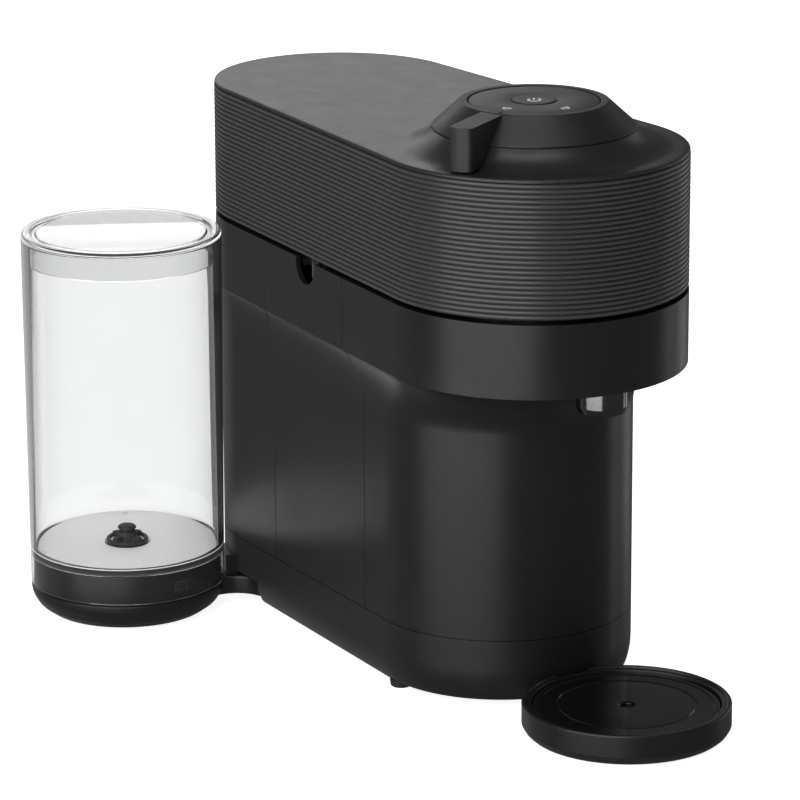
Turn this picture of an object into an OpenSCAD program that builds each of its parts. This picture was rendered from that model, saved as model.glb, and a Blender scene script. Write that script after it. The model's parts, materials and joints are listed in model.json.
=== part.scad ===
// Pod coffee machine with a ribbed tilting head, a side bin and a swinging water tank.
// All shapes are drawn about the head's front centre, with +Y to the back, and then
// moved by place() so that the origin is the bottom centre of the whole machine.

/* [Head] */
// Radius of the head's front end
front_r = 67; // [66:0.5:68]
// Radius of the head's back end
back_r = 56.4; // [55.5:0.1:57]
// Distance between the two end centres
span = 164; // [163:0.5:165]
// Height of the gap under the ribbed sleeve
gap_z = 180.8; // [180.6:0.1:181]
// Height of that gap
gap_h = 2; // [1.5:0.25:2.5]
// Height of the sleeve's upper edge
sleeve_top = 241; // [240.5:0.5:241.5]
// Height of the top cover's flat face
rim_z = 242.8; // [242.5:0.1:243]

/* [Body] */
// Radius of the column's front
column_r = 58.2; // [57.5:0.1:58.5]
// How far the column's front centre stands behind the head's
column_y = 26; // [25:0.5:27]
// Radius of the body's back end below the chin
tail_r = 54.4; // [54:0.1:54.8]
// Wall thickness of the housing
wall = 2.5; // [2.2:0.1:2.6]
// Height of the seam between base and housing
seam_z = 31.2; // [31:0.1:31.4]
// Height where the column starts to flare into the chin
cove_z = 124; // [123:0.5:125]
// Height of the chin's lower edge
chin_z = 148.5; // [148:0.5:149]
// Height of the rubber feet
foot_h = 3.5; // [3:0.25:3.75]

/* [Knob] */
// Outer radius of the lever ring at its foot
knob_r = 44; // [43.5:0.25:44.25]
// Height of the ring's foot
knob_foot = 250.8; // [250.7:0.1:251]
// Height of the knob's top
knob_top = 262.5; // [262:0.1:263]
// Direction in which the lever points
lever_angle = 212; // [205:1:215]

/* [Water tank] */
// Outer radius of the tank at its rim
tank_r = 45.6; // [45:0.1:45.8]
// Distance from the swing axis to the tank's axis
arm_len = 103; // [102.8:0.1:104]
// Direction of the tank from the swing axis
arm_angle = 166; // [160:1:168]
// Height of the tank's rim
tank_rim = 176.6; // [170:0.1:177]

/* [Cup support] */
// Radius of the cup support
cup_r = 45; // [44:0.5:45.5]
// Distance of its centre in front of the head's centre
cup_y = 74; // [73.5:0.25:75]
// Height of its rim
cup_h = 14.3; // [13.5:0.1:14.5]

/* [Hidden] */
$fn = 96;

// The origin is this far from the head's front centre
origin_x = -39.27;
origin_y = 57.76;

eps = 0.01;
tuck = 0.01;
seam = 0.2;              // half of the gap between two housing panels
skin_z = gap_z + gap_h;  // lower edge of the ribbed sleeve
body_low = seam_z + 0.3; // lower edge of the housing panels
pivot = [0, span];       // swing axis of the tank arm, seen from above
pan_floor = 3.5;
disc_top = 13.6;         // upper face of the swing disc
slot_top = 14.4;         // ceiling over the swing disc
slot_end = 30;           // degrees between the arm's middle and the slot's end
bay = [46.2, 128.5];     // front and back of the bin's side opening
bay_top = [54.7, 130.7]; // the same above the chin
jog = [129, 146];        // heights between which the opening shifts
notch = [90, 9];         // centre and radius of the finger notch
hinge_y = 207;
hinge_z = 187;
pin_r = 2.5;
run = 0.05;              // radial clearance of a running fit
motor_at = [24, 20];
motor_pulley_r = 8;
holder_pulley_r = 20;
pump_at = [-24, 12];
flow_at = [-24, 44];
cord_at = [112, 24];      // along the side and up
deck_z = [176, 179.5];
spout_top = 150.6;
shelf_pump = [40, 97];   // heights of the two pump shelves
lug_turns = [0, 120, 240];
tank_wall = 2;
tank_foot = 14.2;        // lower edge of the tank's skirt
tank_floor = [27.9, 30.3];
pan_screws = [[-42, 56], [42, 56], [-42, 98], [42, 98]];
head_posts = [[-38, 52], [38, 52], [-38, 120], [38, 120], [-38, 172], [38, 172]];
foot_places = [[-51, 27], [51, 27], [-30, 104], [30, 104], [0, span]];

module place() { translate([-origin_x, -origin_y, 0]) children(); }

module at_tank() {
    translate([pivot[0], pivot[1], 0]) rotate([0, 0, arm_angle]) translate([arm_len, 0, 0])
        rotate([0, 0, -arm_angle]) children();
}

// Two circles on the Y axis, joined by straight sides a hair inside their outer tangents
module outline(r1, y1, r2, y2) {
    lean = asin((r1 - r2) / (y2 - y1));
    p1 = (r1 - tuck) * [cos(lean), sin(lean)] + [0, y1];
    p2 = (r2 - tuck) * [cos(lean), sin(lean)] + [0, y2];
    translate([0, y1]) circle(r = r1);
    translate([0, y2]) circle(r = r2);
    polygon([p1, p2, [-p2[0], p2[1]], [-p1[0], p1[1]]]);
}

// Body outline: share 0 is the column, share 1 is the head
module body_outline(share, inset = 0) {
    outline(column_r + (front_r - column_r) * share - inset, column_y * (1 - share),
            tail_r + (back_r - tail_r) * share - inset, span);
}

module slab(z0, z1, share, inset = 0) {
    translate([0, 0, z0]) linear_extrude(z1 - z0) body_outline(share, inset);
}

// The flare from column to chin follows a quarter ellipse in three straight steps
module flare(inset, lift) {
    turns = [0, 34, 62, 90];
    for (i = [0 : 2]) hull() {
        slab(cove_height(turns[i]) + lift, cove_height(turns[i]) + lift + eps,
             1 - cos(turns[i]), inset);
        slab(cove_height(turns[i + 1]) + lift - eps, cove_height(turns[i + 1]) + lift,
             1 - cos(turns[i + 1]), inset);
    }
}

function cove_height(turn) = cove_z + (chin_z - cove_z) * sin(turn);

module housing_shell() {
    difference() {
        union() {
            slab(body_low, cove_z + eps, 0);
            flare(0, 0);
            slab(chin_z - eps, gap_z, 1);
        }
        slab(body_low - 1, cove_z + 2, 0, wall);
        flare(wall, 2);
        slab(chin_z + 2 - eps, gap_z + 1, 1, wall);
    }
}

// Side view of the bin's opening, grown by g on its long sides
function bay_side(g, low, high) = [
    [bay[0] - g, low], [bay[0] - g, jog[0]], [bay_top[0] - g, jog[1]], [bay_top[0] - g, high],
    [bay_top[1] + g, high], [bay_top[1] + g, jog[1]], [bay[1] + g, jog[0]], [bay[1] + g, low]];

// An extrusion of a side view, drawn as (y, z), from x0 to x1
module side_extrude(x0, x1) {
    translate([x0, 0, 0]) rotate([90, 0, 90]) linear_extrude(x1 - x0) children();
}

module notch_cut(x0, x1) {
    side_extrude(x0, x1) {
        translate([notch[0], gap_z - 2]) circle(r = notch[1]);
        translate([notch[0] - notch[1], gap_z - 2]) square([2 * notch[1], 5]);
    }
}

module tube(r_out, r_in, z0, z1) {
    difference() {
        translate([0, 0, z0]) cylinder(r = r_out, h = z1 - z0);
        translate([0, 0, z0 - 1]) cylinder(r = r_in, h = z1 - z0 + 2);
    }
}

module block(low, high) { translate(low) cube(high - low); }

// A bent hose: straight lengths with ball elbows
module hose(r, path) {
    for (i = [0 : len(path) - 2]) {
        step = path[i + 1] - path[i];
        flat = norm([step[0], step[1]]);
        translate(path[i]) rotate([0, atan2(flat, step[2]), atan2(step[1], step[0])])
            cylinder(r = r, h = norm(step), $fn = 32);
    }
    for (i = [1 : len(path) - 2]) translate(path[i]) sphere(r = r * 1.25, $fn = 32);
}

// ---- Body: fixed parts ----

module base_pan() {
    tongue_slot = [[-15, -40, 6.6], [15, 6, 11.4]];
    color([0.10, 0.10, 0.11]) place() {
        difference() {
            union() {
                hull() {
                    translate([0, 0, pan_floor]) linear_extrude(eps)
                        outline(column_r - 2.6, column_y, tail_r - 4.5, span);
                    slab(14, 14 + eps, 0);
                }
                slab(14, seam_z, 0);
            }
            difference() {
                slab(pan_floor + 2.5, seam_z + 1, 0, wall + 2.2);
                translate([pivot[0], pivot[1], 0]) cylinder(r = 54, h = slot_top + 2.2);
                block([-20, -40, 0], [20, 8, 13.4]);
            }
            slab(15, seam_z + 1, 0, wall);
            translate([pivot[0], pivot[1], 0]) {
                cylinder(r = 51.2, h = slot_top);
                rotate([0, 0, -slot_sweep()]) rotate_extrude(angle = 180 + 2 * slot_sweep())
                    translate([50, 0]) square([20, slot_top]);
            }
            block(tongue_slot[0], tongue_slot[1]);
            translate([40, cord_at[0], cord_at[1]]) rotate([0, 90, 0]) cylinder(r = 5.1, h = 30);
            for (at = pan_screws) translate([at[0], at[1], 0]) cylinder(r = 3.2, h = 7);
        }
        for (at = pan_screws) translate([at[0], at[1], 0]) tube(4.6, 1.6, 7, 9);
        for (at = pan_screws) translate([at[0], at[1], 0]) tube(4.6, 3.2, pan_floor, 7.05);
        difference() {
            slab(slot_top - eps, slot_top + 2.2, 0, 2.3);
            translate([-70, 0, 0]) cube([140, 108, 30]);
            translate([0, span, slot_top - 1]) cylinder(r = 7, h = 5);
        }
        translate([pivot[0], pivot[1], 0]) difference() {
            translate([0, 0, 4.6]) cylinder(r = 8, h = slot_top + 1 - 4.6);
            cylinder(r = 3, h = 30);
        }
    }
}

// The slot for the arm goes round the back, this many degrees past each side
function slot_sweep() = arm_angle - 180 + slot_end + 1;

module front_housing() {
    color([0.09, 0.09, 0.10]) place() difference() {
        housing_shell();
        side_extrude(-80, 80) polygon(concat(
            [for (i = [0 : 3]) bay_side(seam, body_low - 2, gap_z + 2)[i]],
            [[300, gap_z + 2], [300, body_low - 2]]));
        translate([0, -53, 120]) cylinder(r = 11.3, h = 40);
    }
}

module rear_housing() {
    color([0.09, 0.09, 0.10]) place() difference() {
        housing_shell();
        side_extrude(-80, 80) polygon(concat(
            [for (i = [4 : 7]) bay_side(seam, body_low - 2, gap_z + 2)[i]],
            [[-100, body_low - 2], [-100, gap_z + 2]]));
        block([-33, 200, 174.5], [33, 230, gap_z + 2]);
    }
}

module side_region(x0, x1) {
    intersection() {
        housing_shell();
        side_extrude(x0, x1) polygon(bay_side(-seam, body_low, gap_z));
    }
}

module side_panel() {
    color([0.09, 0.09, 0.10]) place() difference() {
        side_region(0, 80);
        notch_cut(40, 80);
    }
}

module chassis() {
    color([0.22, 0.23, 0.25]) place() difference() {
        union() {
            slab(31.6, 33.8, 0, 3.4);
            block([-49, 42.6, 33.8], [49, 45, deck_z[0]]);
            block([-49, 130.9, 33.8], [49, 133, deck_z[0]]);
            intersection() {
                slab(31.6, deck_z[0], 0, 3.4);
                union() {
                    for (z = shelf_pump) block([-53, -18, z], [-4, 42.7, z + 3]);
                    block([4.5, -2, 121.4], [53, 42.7, 124.4]);
                }
            }
            block([38.5, 44.9, 33.8], [41, 131, 170]);
            for (at = pan_screws) translate([at[0], at[1], 9.1]) cylinder(r = 4, h = 22.6);
        }
        for (z = shelf_pump) translate([pump_at[0], pump_at[1], z - 1]) cylinder(r = 20.3, h = 5);
        for (at = pan_screws) translate([at[0], at[1], 9]) cylinder(r = 1.52, h = 14);
        translate([motor_at[0], motor_at[1], 118]) cylinder(r = 7, h = 10);
        translate([pump_at[0], pump_at[1], 30]) cylinder(r = 6, h = 6);
        translate([46, 36, 56]) rotate([-90, 0, 0]) cylinder(r = 3.2, h = 110);
    }
}

module top_deck() {
    color([0.07, 0.07, 0.08]) place() difference() {
        slab(deck_z[0], deck_z[1], 1, 4.2);
        translate([0, 0, 170]) cylinder(r = 39, h = 20);
        for (turn = lug_turns) rotate([0, 0, turn]) block([30, -9, 170], [45, 9, 190]);
        block([-32, 54, 170], [32, 124, 190]);
        block([-33, 196, 170], [33, 240, 190]);
        for (s = [-1, 1]) block([s * 59 - 5, 78, 170], [s * 59 + 5, 98, 190]);
        translate([0, 189, 170]) cylinder(r = 5, h = 20);
    }
}

module brew_tub() {
    color([0.13, 0.13, 0.14]) place() difference() {
        union() {
            translate([0, 0, spout_top]) cylinder(r = 47, h = 175.8 - spout_top);
            translate([0, 0, 137]) cylinder(r = 16, h = 14);
            block([-12, -62, spout_top], [12, -30, 160]);
        }
        translate([0, 0, 152.4]) cylinder(r = 44.6, h = 30);
        translate([0, 0, 130]) cylinder(r = 13, h = 25);
        block([-9, -59, 152.4], [9, -30, 158]);
        translate([0, -53, 149]) cylinder(r = 7, h = 5);
        block([-50, 42.4, 140], [50, 72, 190]);
    }
}

module outlet_spout() {
    color([0.45, 0.46, 0.48]) place() translate([0, -53, 0]) tube(11, 8.6, 137.4, spout_top);
}

module holder_bearings() {
    color([0.70, 0.71, 0.73]) place() for (z = [138, 145]) tube(12.95, 6.05, z, z + 5);
}

module motor() {
    color([0.60, 0.61, 0.63]) place() translate([motor_at[0], motor_at[1], 0]) {
        difference() {
            union() {
                translate([0, 0, 70]) cylinder(r = 18.5, h = 51.35);
                translate([0, 0, 120.9]) cylinder(r = 6.7, h = 3);
                translate([0, 0, 66]) cylinder(r = 9, h = 4.1);
            }
            translate([0, 0, 90]) cylinder(r = 2 + run, h = 40);
        }
    }
}

module drive_belt() {
    reach = norm(motor_at);
    color([0.12, 0.12, 0.12]) place() rotate([0, 0, atan2(motor_at[1], motor_at[0]) - 90])
        translate([0, 0, 128]) linear_extrude(6) difference() {
            outline(holder_pulley_r + 1.4, 0, motor_pulley_r + 1.4, reach);
            outline(holder_pulley_r + 0.15, 0, motor_pulley_r + 0.15, reach);
        }
}

module pump() {
    color([0.80, 0.78, 0.72]) place() translate([pump_at[0], pump_at[1], 0]) {
        translate([0, 0, 37]) cylinder(r = 17, h = 72);
        block([-17.5, -17.5, 54], [17.5, 17.5, 88]);
        translate([0, 0, 109]) cylinder(r = 4, h = 8);
        translate([0, 0, 30]) cylinder(r = 4, h = 7.1);
    }
}

module pump_mounts() {
    color([0.15, 0.15, 0.16]) place() translate([pump_at[0], pump_at[1], 0])
        for (z = shelf_pump) tube(20.2, 17.1, z - 1, z + 4);
}

module flow_meter() {
    color([0.88, 0.88, 0.86]) place() translate([flow_at[0], flow_at[1], 0]) {
        translate([0, 0, 9]) cylinder(r = 11, h = 14);
        translate([0, 0, 22.9]) cylinder(r = 3, h = 4.4);
    }
}

module heater() {
    color([0.72, 0.73, 0.75]) place() translate([0, 172, 0]) {
        translate([0, 0, 44]) cylinder(r = 19, h = 86);
        for (z = [52, 72, 92, 112]) translate([0, 0, z]) cylinder(r = 22, h = 5);
        translate([0, 0, 129.9]) cylinder(r = 4, h = 8);
        for (s = [-1, 1]) block([s * 20.5 - 4, -4, 33.9], [s * 20.5 + 4, 4, 118]);
    }
}

module control_board() {
    color([0.10, 0.35, 0.18]) place() {
        block([-40, 136, 62], [40, 137.6, 150]);
        block([-30, 137.5, 70], [-8, 146, 92]);
        block([6, 137.5, 120], [30, 147, 142]);
        for (x = [-20, 0, 20]) translate([x, 137.5, 108]) rotate([-90, 0, 0]) cylinder(r = 4, h = 9);
        for (x = [-34, 34]) block([x - 2, 133, 66], [x + 2, 136.1, 70]);
        for (x = [-34, 34]) block([x - 2, 133, 142], [x + 2, 136.1, 146]);
    }
}

module inlet_hose() {
    color([0.85, 0.86, 0.88]) place() {
        hose(2.5, [[0, 158, 17], [0, 158, 25], [-24, 72, 25], [-24, 72, 16], [-24, 55.1, 16]]);
        hose(2.5, [[-24, 32.9, 16], [-24, 12, 16], [-24, 12, 29.9]]);
    }
}

module pump_hose() {
    color([0.85, 0.86, 0.88]) place()
        hose(2.5, [[-24, 12, 117.1], [-24, 12, 140], [0, 36, 140], [0, 36, 56], [46, 36, 56],
                   [46, 150, 56], [46, 150, 38], [0, 172, 38], [0, 172, 43.9]]);
}

module riser_hose() {
    color([0.85, 0.86, 0.88]) place()
        hose(2.5, [[0, 172, 138.2], [0, 172, 160], [0, 189, 170], [0, 189, 184]]);
}

module hinge_bracket() {
    color([0.30, 0.31, 0.33]) place() difference() {
        union() {
            block([-24, 201, 150], [24, 204, 174]);
            block([-14, 203, 152], [14, 216, 172]);
            for (s = [-1, 1]) {
                block([s * 19.5 - 3, 201, 156], [s * 19.5 + 3, hinge_y + 1.8, hinge_z]);
                translate([s * 19.5 - 3, hinge_y, hinge_z]) rotate([0, 90, 0]) cylinder(r = 5, h = 6);
            }
        }
        translate([-40, hinge_y, hinge_z]) rotate([0, 90, 0]) cylinder(r = pin_r + run, h = 80);
    }
}

module hinge_pin() {
    color([0.75, 0.76, 0.78]) place() translate([-24, hinge_y, hinge_z])
        rotate([0, 90, 0]) cylinder(r = pin_r, h = 48);
}

module cord_gland() {
    color([0.06, 0.06, 0.06]) place() translate([0, cord_at[0], cord_at[1]]) rotate([0, 90, 0]) difference() {
        union() {
            translate([0, 0, 48]) cylinder(r = 5, h = 14);
            translate([0, 0, 56.15]) cylinder(r = 6.8, h = 2);
            translate([0, 0, 51]) cylinder(r = 6.8, h = 2);
        }
        translate([0, 0, 40]) cylinder(r = 3.4, h = 40);
    }
}

module feet() {
    color([0.05, 0.05, 0.05]) place() for (i = [0 : 4])
        translate([foot_places[i][0], foot_places[i][1], 0])
            cylinder(r = 5, h = i < 4 ? foot_h : 2.2);
}

module pivot_cap() {
    color([0.20, 0.20, 0.21]) place() translate([pivot[0], pivot[1], 0]) {
        translate([0, 0, 2.2]) cylinder(r = 14, h = 1.6);
        translate([0, 0, 3.7]) cylinder(r = 2.9, h = 10.5);
    }
}

module screw(length) {
    difference() {
        cylinder(r = 3, h = 2);
        translate([0, 0, -1]) cylinder(r = 1.4, h = 2, $fn = 6);
    }
    translate([0, 0, 1.9]) cylinder(r = 1.5, h = length);
}

module housing_screws() {
    color([0.65, 0.66, 0.68]) place()
        for (at = pan_screws) translate([at[0], at[1], 5]) screw(14);
}

// ---- Head: tilting parts ----

module ribbed_sleeve() {
    color([0.16, 0.16, 0.17]) place() difference() {
        slab(skin_z, sleeve_top, 1);
        slab(skin_z - 1, sleeve_top + 1, 1, 2.4);
    }
}

module top_cover() {
    plateau = knob_foot - 0.1;
    color([0.26, 0.26, 0.27]) place() {
        difference() {
            union() {
                slab(sleeve_top + 0.1, rim_z, 1, 0.2);
                slab(sleeve_top - 5, sleeve_top + 0.2, 1, 2.6);
                rotate_extrude() polygon([
                    [25, sleeve_top - 4], [46, sleeve_top - 4], [62, sleeve_top + 0.5],
                    [62, rim_z], [56, rim_z + 1], [50, rim_z + 3.4], [knob_r, plateau],
                    [28.2, plateau], [28.2, 260.4], [25, 260.4]]);
            }
            slab(sleeve_top - 6, sleeve_top - 1.6, 1, 5);
            translate([0, 0, sleeve_top - 6]) cylinder(r = 42, h = 11.9);
            for (turn = lug_turns) rotate([0, 0, turn - 4]) rotate_extrude(angle = 98)
                translate([35, 240]) square([4, 20]);
        }
        tube(28.2, 4, 243.5, 247);
        for (at = head_posts) translate([at[0], at[1], 0]) tube(4, 1.52, 187.45, sleeve_top - 1.5);
    }
}

module head_frame() {
    color([0.12, 0.12, 0.13]) place() difference() {
        union() {
            slab(185, 187.4, 1, 3);
            for (s = [-1, 1]) {
                block([s * 11.5 - 3.5, 190, 185], [s * 11.5 + 3.5, hinge_y, 190]);
                translate([s * 11.5 - 3.5, hinge_y, hinge_z]) rotate([0, 90, 0])
                    cylinder(r = 4.6, h = 7);
                block([s * 57.7 - 1.1, 82.5, 173], [s * 57.7 + 1.1, 88, 186]);
                block([s * 46 - 1.2, 60, 187.3], [s * 46 + 1.2, 180, 234]);
            }
        }
        translate([0, 0, 180]) cylinder(r = 39, h = 20);
        difference() {
            block([-25, 198, 180], [25, 240, 200]);
            for (s = [-1, 1]) block([s * 11.5 - 3.5, 197, 179], [s * 11.5 + 3.5, hinge_y + 5, 201]);
        }
        for (at = head_posts) translate([at[0], at[1], 180]) cylinder(r = 1.52, h = 10);
        translate([0, 189, 180]) cylinder(r = 5, h = 20);
        translate([-16, hinge_y, hinge_z]) rotate([0, 90, 0]) cylinder(r = pin_r + run, h = 32);
    }
}

module brew_head() {
    color([0.18, 0.18, 0.20]) place() difference() {
        union() {
            translate([0, 0, 190]) cylinder(r = 27, h = 32);
            translate([0, 0, 220]) cylinder(r = 20, h = 23.4);
            translate([0, 26, 205]) rotate([-90, 0, 0]) cylinder(r = 4, h = 7);
        }
        translate([0, 0, 185]) cylinder(r = 5 + run, h = 20);
    }
}

module head_hose() {
    color([0.85, 0.86, 0.88]) place()
        hose(2.5, [[0, 33.2, 205], [0, 176, 205], [0, 189, 196], [0, 189, 186]]);
}

module knob_disc() {
    color([0.20, 0.20, 0.21]) place() {
        tube(28, 9.7, knob_top - 1.9, knob_top - 0.3);
        tube(24.6, 22, knob_top - 6.5, knob_top - 1.8);
    }
}

module button_board() {
    color([0.10, 0.35, 0.18]) place() translate([0, 0, 253]) {
        cylinder(r = 21, h = 1.6);
        for (turn = [0 : 60 : 300]) rotate([0, 0, turn]) translate([15, 0, 1.5]) cube([3, 2, 1.2]);
        tube(20, 17, -6, 0.1);
    }
}

module button_dome() {
    color([0.85, 0.85, 0.85]) place() translate([0, 0, 254.6]) {
        cylinder(r = 4, h = 2);
        cylinder(r = 2, h = 3.2);
    }
}

module head_screws() {
    color([0.65, 0.66, 0.68]) place()
        for (at = head_posts) translate([at[0], at[1], 183]) screw(10);
}

module lock_lever() {
    lever_out = 63.4;
    half = 5.3;
    corner = 2.6;
    bevel = 0.8;
    // The lever's middle line passes beside the axis.
    beside = 5;
    color([0.11, 0.11, 0.12]) place() {
        difference() {
            rotate_extrude() polygon([
                [28.6, knob_foot], [knob_r, knob_foot], [knob_r, knob_foot + 0.8],
                [31.9, knob_top - 0.9], [31.2, knob_top], [29, knob_top], [28.6, knob_top - 0.4]]);
            translate([0, 0, knob_foot - 1]) rotate_extrude()
                translate([28, 0]) square([10.6, 3]);
        }
        rotate([0, 0, lever_angle]) difference() {
            translate([0, -beside, 243.6]) linear_extrude(knob_top - 243.6)
                polygon([
                    [28, -half], [lever_out - corner, -half],
                    [lever_out - bevel, bevel - half], [lever_out, corner - half],
                    [lever_out, half - corner], [lever_out - bevel, half - bevel],
                    [lever_out - corner, half], [28, half]]);
            rotate_extrude() polygon([
                [0, 240], [62.5, 240], [62.5, 243.2], [56, rim_z + 1.6], [50, rim_z + 4.4],
                [knob_r + 0.6, knob_foot + 0.4], [knob_r - 0.5, knob_foot + 1.4],
                [30, knob_foot + 1.4], [30, 270], [0, 270]]);
        }
    }
}

module latch_ring() {
    color([0.55, 0.56, 0.58]) place() difference() {
        union() {
            tube(37.4, 35.4, 169, 239);
            tube(40, 35.4, 236, 239);
            for (turn = lug_turns) rotate([0, 0, turn]) {
                block([37, -6, 169], [41.8, 6, 174]);
                rotate([0, 0, -2]) rotate_extrude(angle = 4) translate([35.6, 238.9])
                    square([2.8, knob_foot + 2 - 238.9]);
            }
        }
        block([-7, -7, 197], [50, 50, 214]);
    }
}

module brew_button() {
    color([0.17, 0.17, 0.18]) place() {
        translate([0, 0, 260.4]) cylinder(r = 9.4, h = knob_top - 260.3);
        translate([0, 0, 259.4]) cylinder(r = 11, h = 1.05);
        translate([0, 0, 258.9]) cylinder(r = 3, h = 0.6);
    }
}

module pierce_plate() {
    color([0.75, 0.76, 0.78]) place() {
        translate([0, 0, 183]) cylinder(r = 29.5, h = 5);
        translate([0, 0, 187.9]) cylinder(r = 5, h = 15);
        for (turn = [0 : 60 : 300]) rotate([0, 0, turn]) translate([19, 0, 179.5])
            cylinder(r1 = 0.3, r2 = 1.4, h = 3.6, $fn = 24);
        translate([0, 0, 175.5]) cylinder(r1 = 0.6, r2 = 2.4, h = 7.6, $fn = 24);
    }
}

module plate_seal() {
    color([0.35, 0.12, 0.08]) place() tube(28, 24, 181.4, 182.95);
}

// ---- Spinning parts ----

module capsule_holder() {
    color([0.62, 0.63, 0.65]) place() {
        difference() {
            union() {
                translate([0, 0, 155]) cylinder(r = 33.4, h = 26);
                translate([0, 0, 126.4]) cylinder(r = 6, h = 29);
            }
            translate([0, 0, 158]) cylinder(r = 30.6, h = 30);
            for (turn = [0 : 45 : 315]) rotate([0, 0, turn]) translate([22, 0, 150])
                cylinder(r = 2, h = 10);
        }
        tube(34.4, 33.3, 179, 181);
    }
}

module holder_pulley() {
    color([0.85, 0.85, 0.83]) place() difference() {
        union() {
            translate([0, 0, 127]) cylinder(r = holder_pulley_r, h = 8);
            translate([0, 0, 126.4]) cylinder(r = holder_pulley_r + 2, h = 1);
        }
        translate([0, 0, 120]) cylinder(r = 6.02, h = 20);
    }
}

module motor_pulley() {
    color([0.85, 0.85, 0.83]) place() translate([motor_at[0], motor_at[1], 0]) {
        translate([0, 0, 92]) cylinder(r = 2, h = 45);
        translate([0, 0, 127]) cylinder(r = motor_pulley_r, h = 8);
        translate([0, 0, 126]) cylinder(r = motor_pulley_r + 1.2, h = 1.1);
    }
}

// ---- Used-capsule bin ----

module bin_front() {
    color([0.09, 0.09, 0.10]) place() difference() {
        side_region(-80, 0);
        notch_cut(-80, -40);
    }
}

module capsule_bin() {
    low = [-52.4, 50.4, 34.6];
    high = [36, 125, 122];
    color([0.12, 0.12, 0.13]) place() {
        difference() {
            block(low, high);
            block(low + [2, 2, 2], high + [-2, -2, 1]);
        }
        for (y = [54, 117]) block([low[0] - 2.6, y, 40], [low[0] + 0.1, y + 4, 118]);
    }
}

// ---- Swinging tank arm ----

module tank_arm() {
    neck = 14;
    fillet = 14;
    color([0.08, 0.08, 0.09]) place() {
        difference() {
            translate([pivot[0], pivot[1], 0]) rotate([0, 0, arm_angle]) union() {
                translate([0, 0, 4.4]) cylinder(r = 50.4, h = disc_top - 4.4);
                translate([0, 0, 4.6]) linear_extrude(disc_top - 4.9) {
                    difference() {
                        translate([42, -24]) square([16, 48]);
                        for (s = [-1, 1]) translate([59, s * (neck + fillet)]) circle(r = fillet);
                    }
                    translate([57, -neck]) square([19, 2 * neck]);
                }
            }
            translate([pivot[0], pivot[1], 0]) cylinder(r = 8 + run, h = 30);
            translate([pivot[0], pivot[1], 0]) cylinder(r = 14.4, h = 5);
            at_tank() cylinder(r = 40, h = 30);
        }
        at_tank() rotate_extrude() polygon([
            [0, 1], [36.5, 1], [40, 3], [42.6, 6.4], [44.2, 10.6], [44.4, disc_top], [0, disc_top]]);
    }
}

module arm_cover() {
    color([0.10, 0.10, 0.11]) place() difference() {
        translate([pivot[0], pivot[1], disc_top]) rotate([0, 0, arm_angle])
            translate([52, -12.2, 0.05]) cube([14, 24.4, 9.4]);
        translate([pivot[0], pivot[1], 0]) cylinder(r = tail_r + 0.7, h = 40);
        slab(0, 60, 0, -0.7);
        at_tank() cylinder(r = 45.3, h = 40);
    }
}

module dock_ring() {
    color([0.12, 0.12, 0.13]) place() at_tank() {
        difference() {
            translate([0, 0, disc_top + 0.05]) cylinder(r = 41.6, h = 13.6);
            translate([0, 0, disc_top - 1]) cylinder(r = 38.6, h = 12.6);
            cylinder(r = 12.5, h = 60);
        }
        difference() {
            translate([0, 0, disc_top + 0.05]) cylinder(r = 14.5, h = 13.6);
            cylinder(r = 12.5, h = 60);
        }
    }
}

module dock_nozzle() {
    color([0.20, 0.20, 0.21]) place() at_tank() difference() {
        union() {
            translate([0, 0, disc_top + 0.05]) cylinder(r = 12.4, h = 2);
            translate([0, 0, disc_top + 1]) cylinder(r = 7, h = 5);
        }
        translate([0, 0, disc_top + 3]) cylinder(r = 4, h = 10);
    }
}

module dock_foot() {
    color([0.05, 0.05, 0.05]) place() at_tank() tube(30, 25, 0, 1);
}

// ---- Water tank ----

module water_tank() {
    foot_r = tank_r - 1.0;
    color([0.85, 0.90, 0.93, 0.4]) place() at_tank() rotate_extrude() polygon([
        [foot_r - tank_wall, tank_foot], [foot_r, tank_foot], [tank_r, tank_rim],
        [tank_r - tank_wall, tank_rim], [foot_r - tank_wall + 0.1, tank_floor[1]],
        [8.1, tank_floor[1]], [8.1, tank_floor[0]], [foot_r - tank_wall, tank_floor[0]]]);
}

module tank_valve() {
    color([0.10, 0.10, 0.10]) place() at_tank() difference() {
        union() {
            translate([0, 0, 25.4]) cylinder(r = 8, h = 6);
            translate([0, 0, 30.35]) cylinder(r = 11, h = 1.6);
            for (turn = [0, 90]) rotate([0, 0, turn]) block([-9, -2.5, 31.9], [9, 2.5, 35]);
            translate([0, 0, 31.9]) cylinder(r = 5.6, h = 4.2);
        }
        translate([0, 0, 20]) cylinder(r = 3 + run, h = 30);
    }
}

module valve_seal() {
    color([0.40, 0.12, 0.08]) place() at_tank() tube(10.5, 8.05, 26.2, 27.8);
}

module valve_plunger() {
    color([0.75, 0.75, 0.75]) place() at_tank() {
        translate([0, 0, 20.8]) cylinder(r = 3, h = 16);
        translate([0, 0, 36.6]) cylinder(r = 5, h = 1.8);
    }
}

module tank_lid() {
    color([0.85, 0.90, 0.93, 0.4]) place() at_tank() {
        rotate_extrude() polygon([
            [0, tank_rim + 0.5], [39.5, tank_rim + 0.5], [40.5, tank_rim + 0.1],
            [tank_r, tank_rim + 0.1], [tank_r, tank_rim + 1.8], [tank_r - 0.8, tank_rim + 2.5],
            [tank_r - 3.4, tank_rim + 2.5], [tank_r - 4.4, tank_rim + 1.9], [0, tank_rim + 1.9]]);
        tube(tank_r - tank_wall - 0.4, tank_r - tank_wall - 2, tank_rim - 11, tank_rim + 0.6);
    }
}

// ---- Cup support ----

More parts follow.
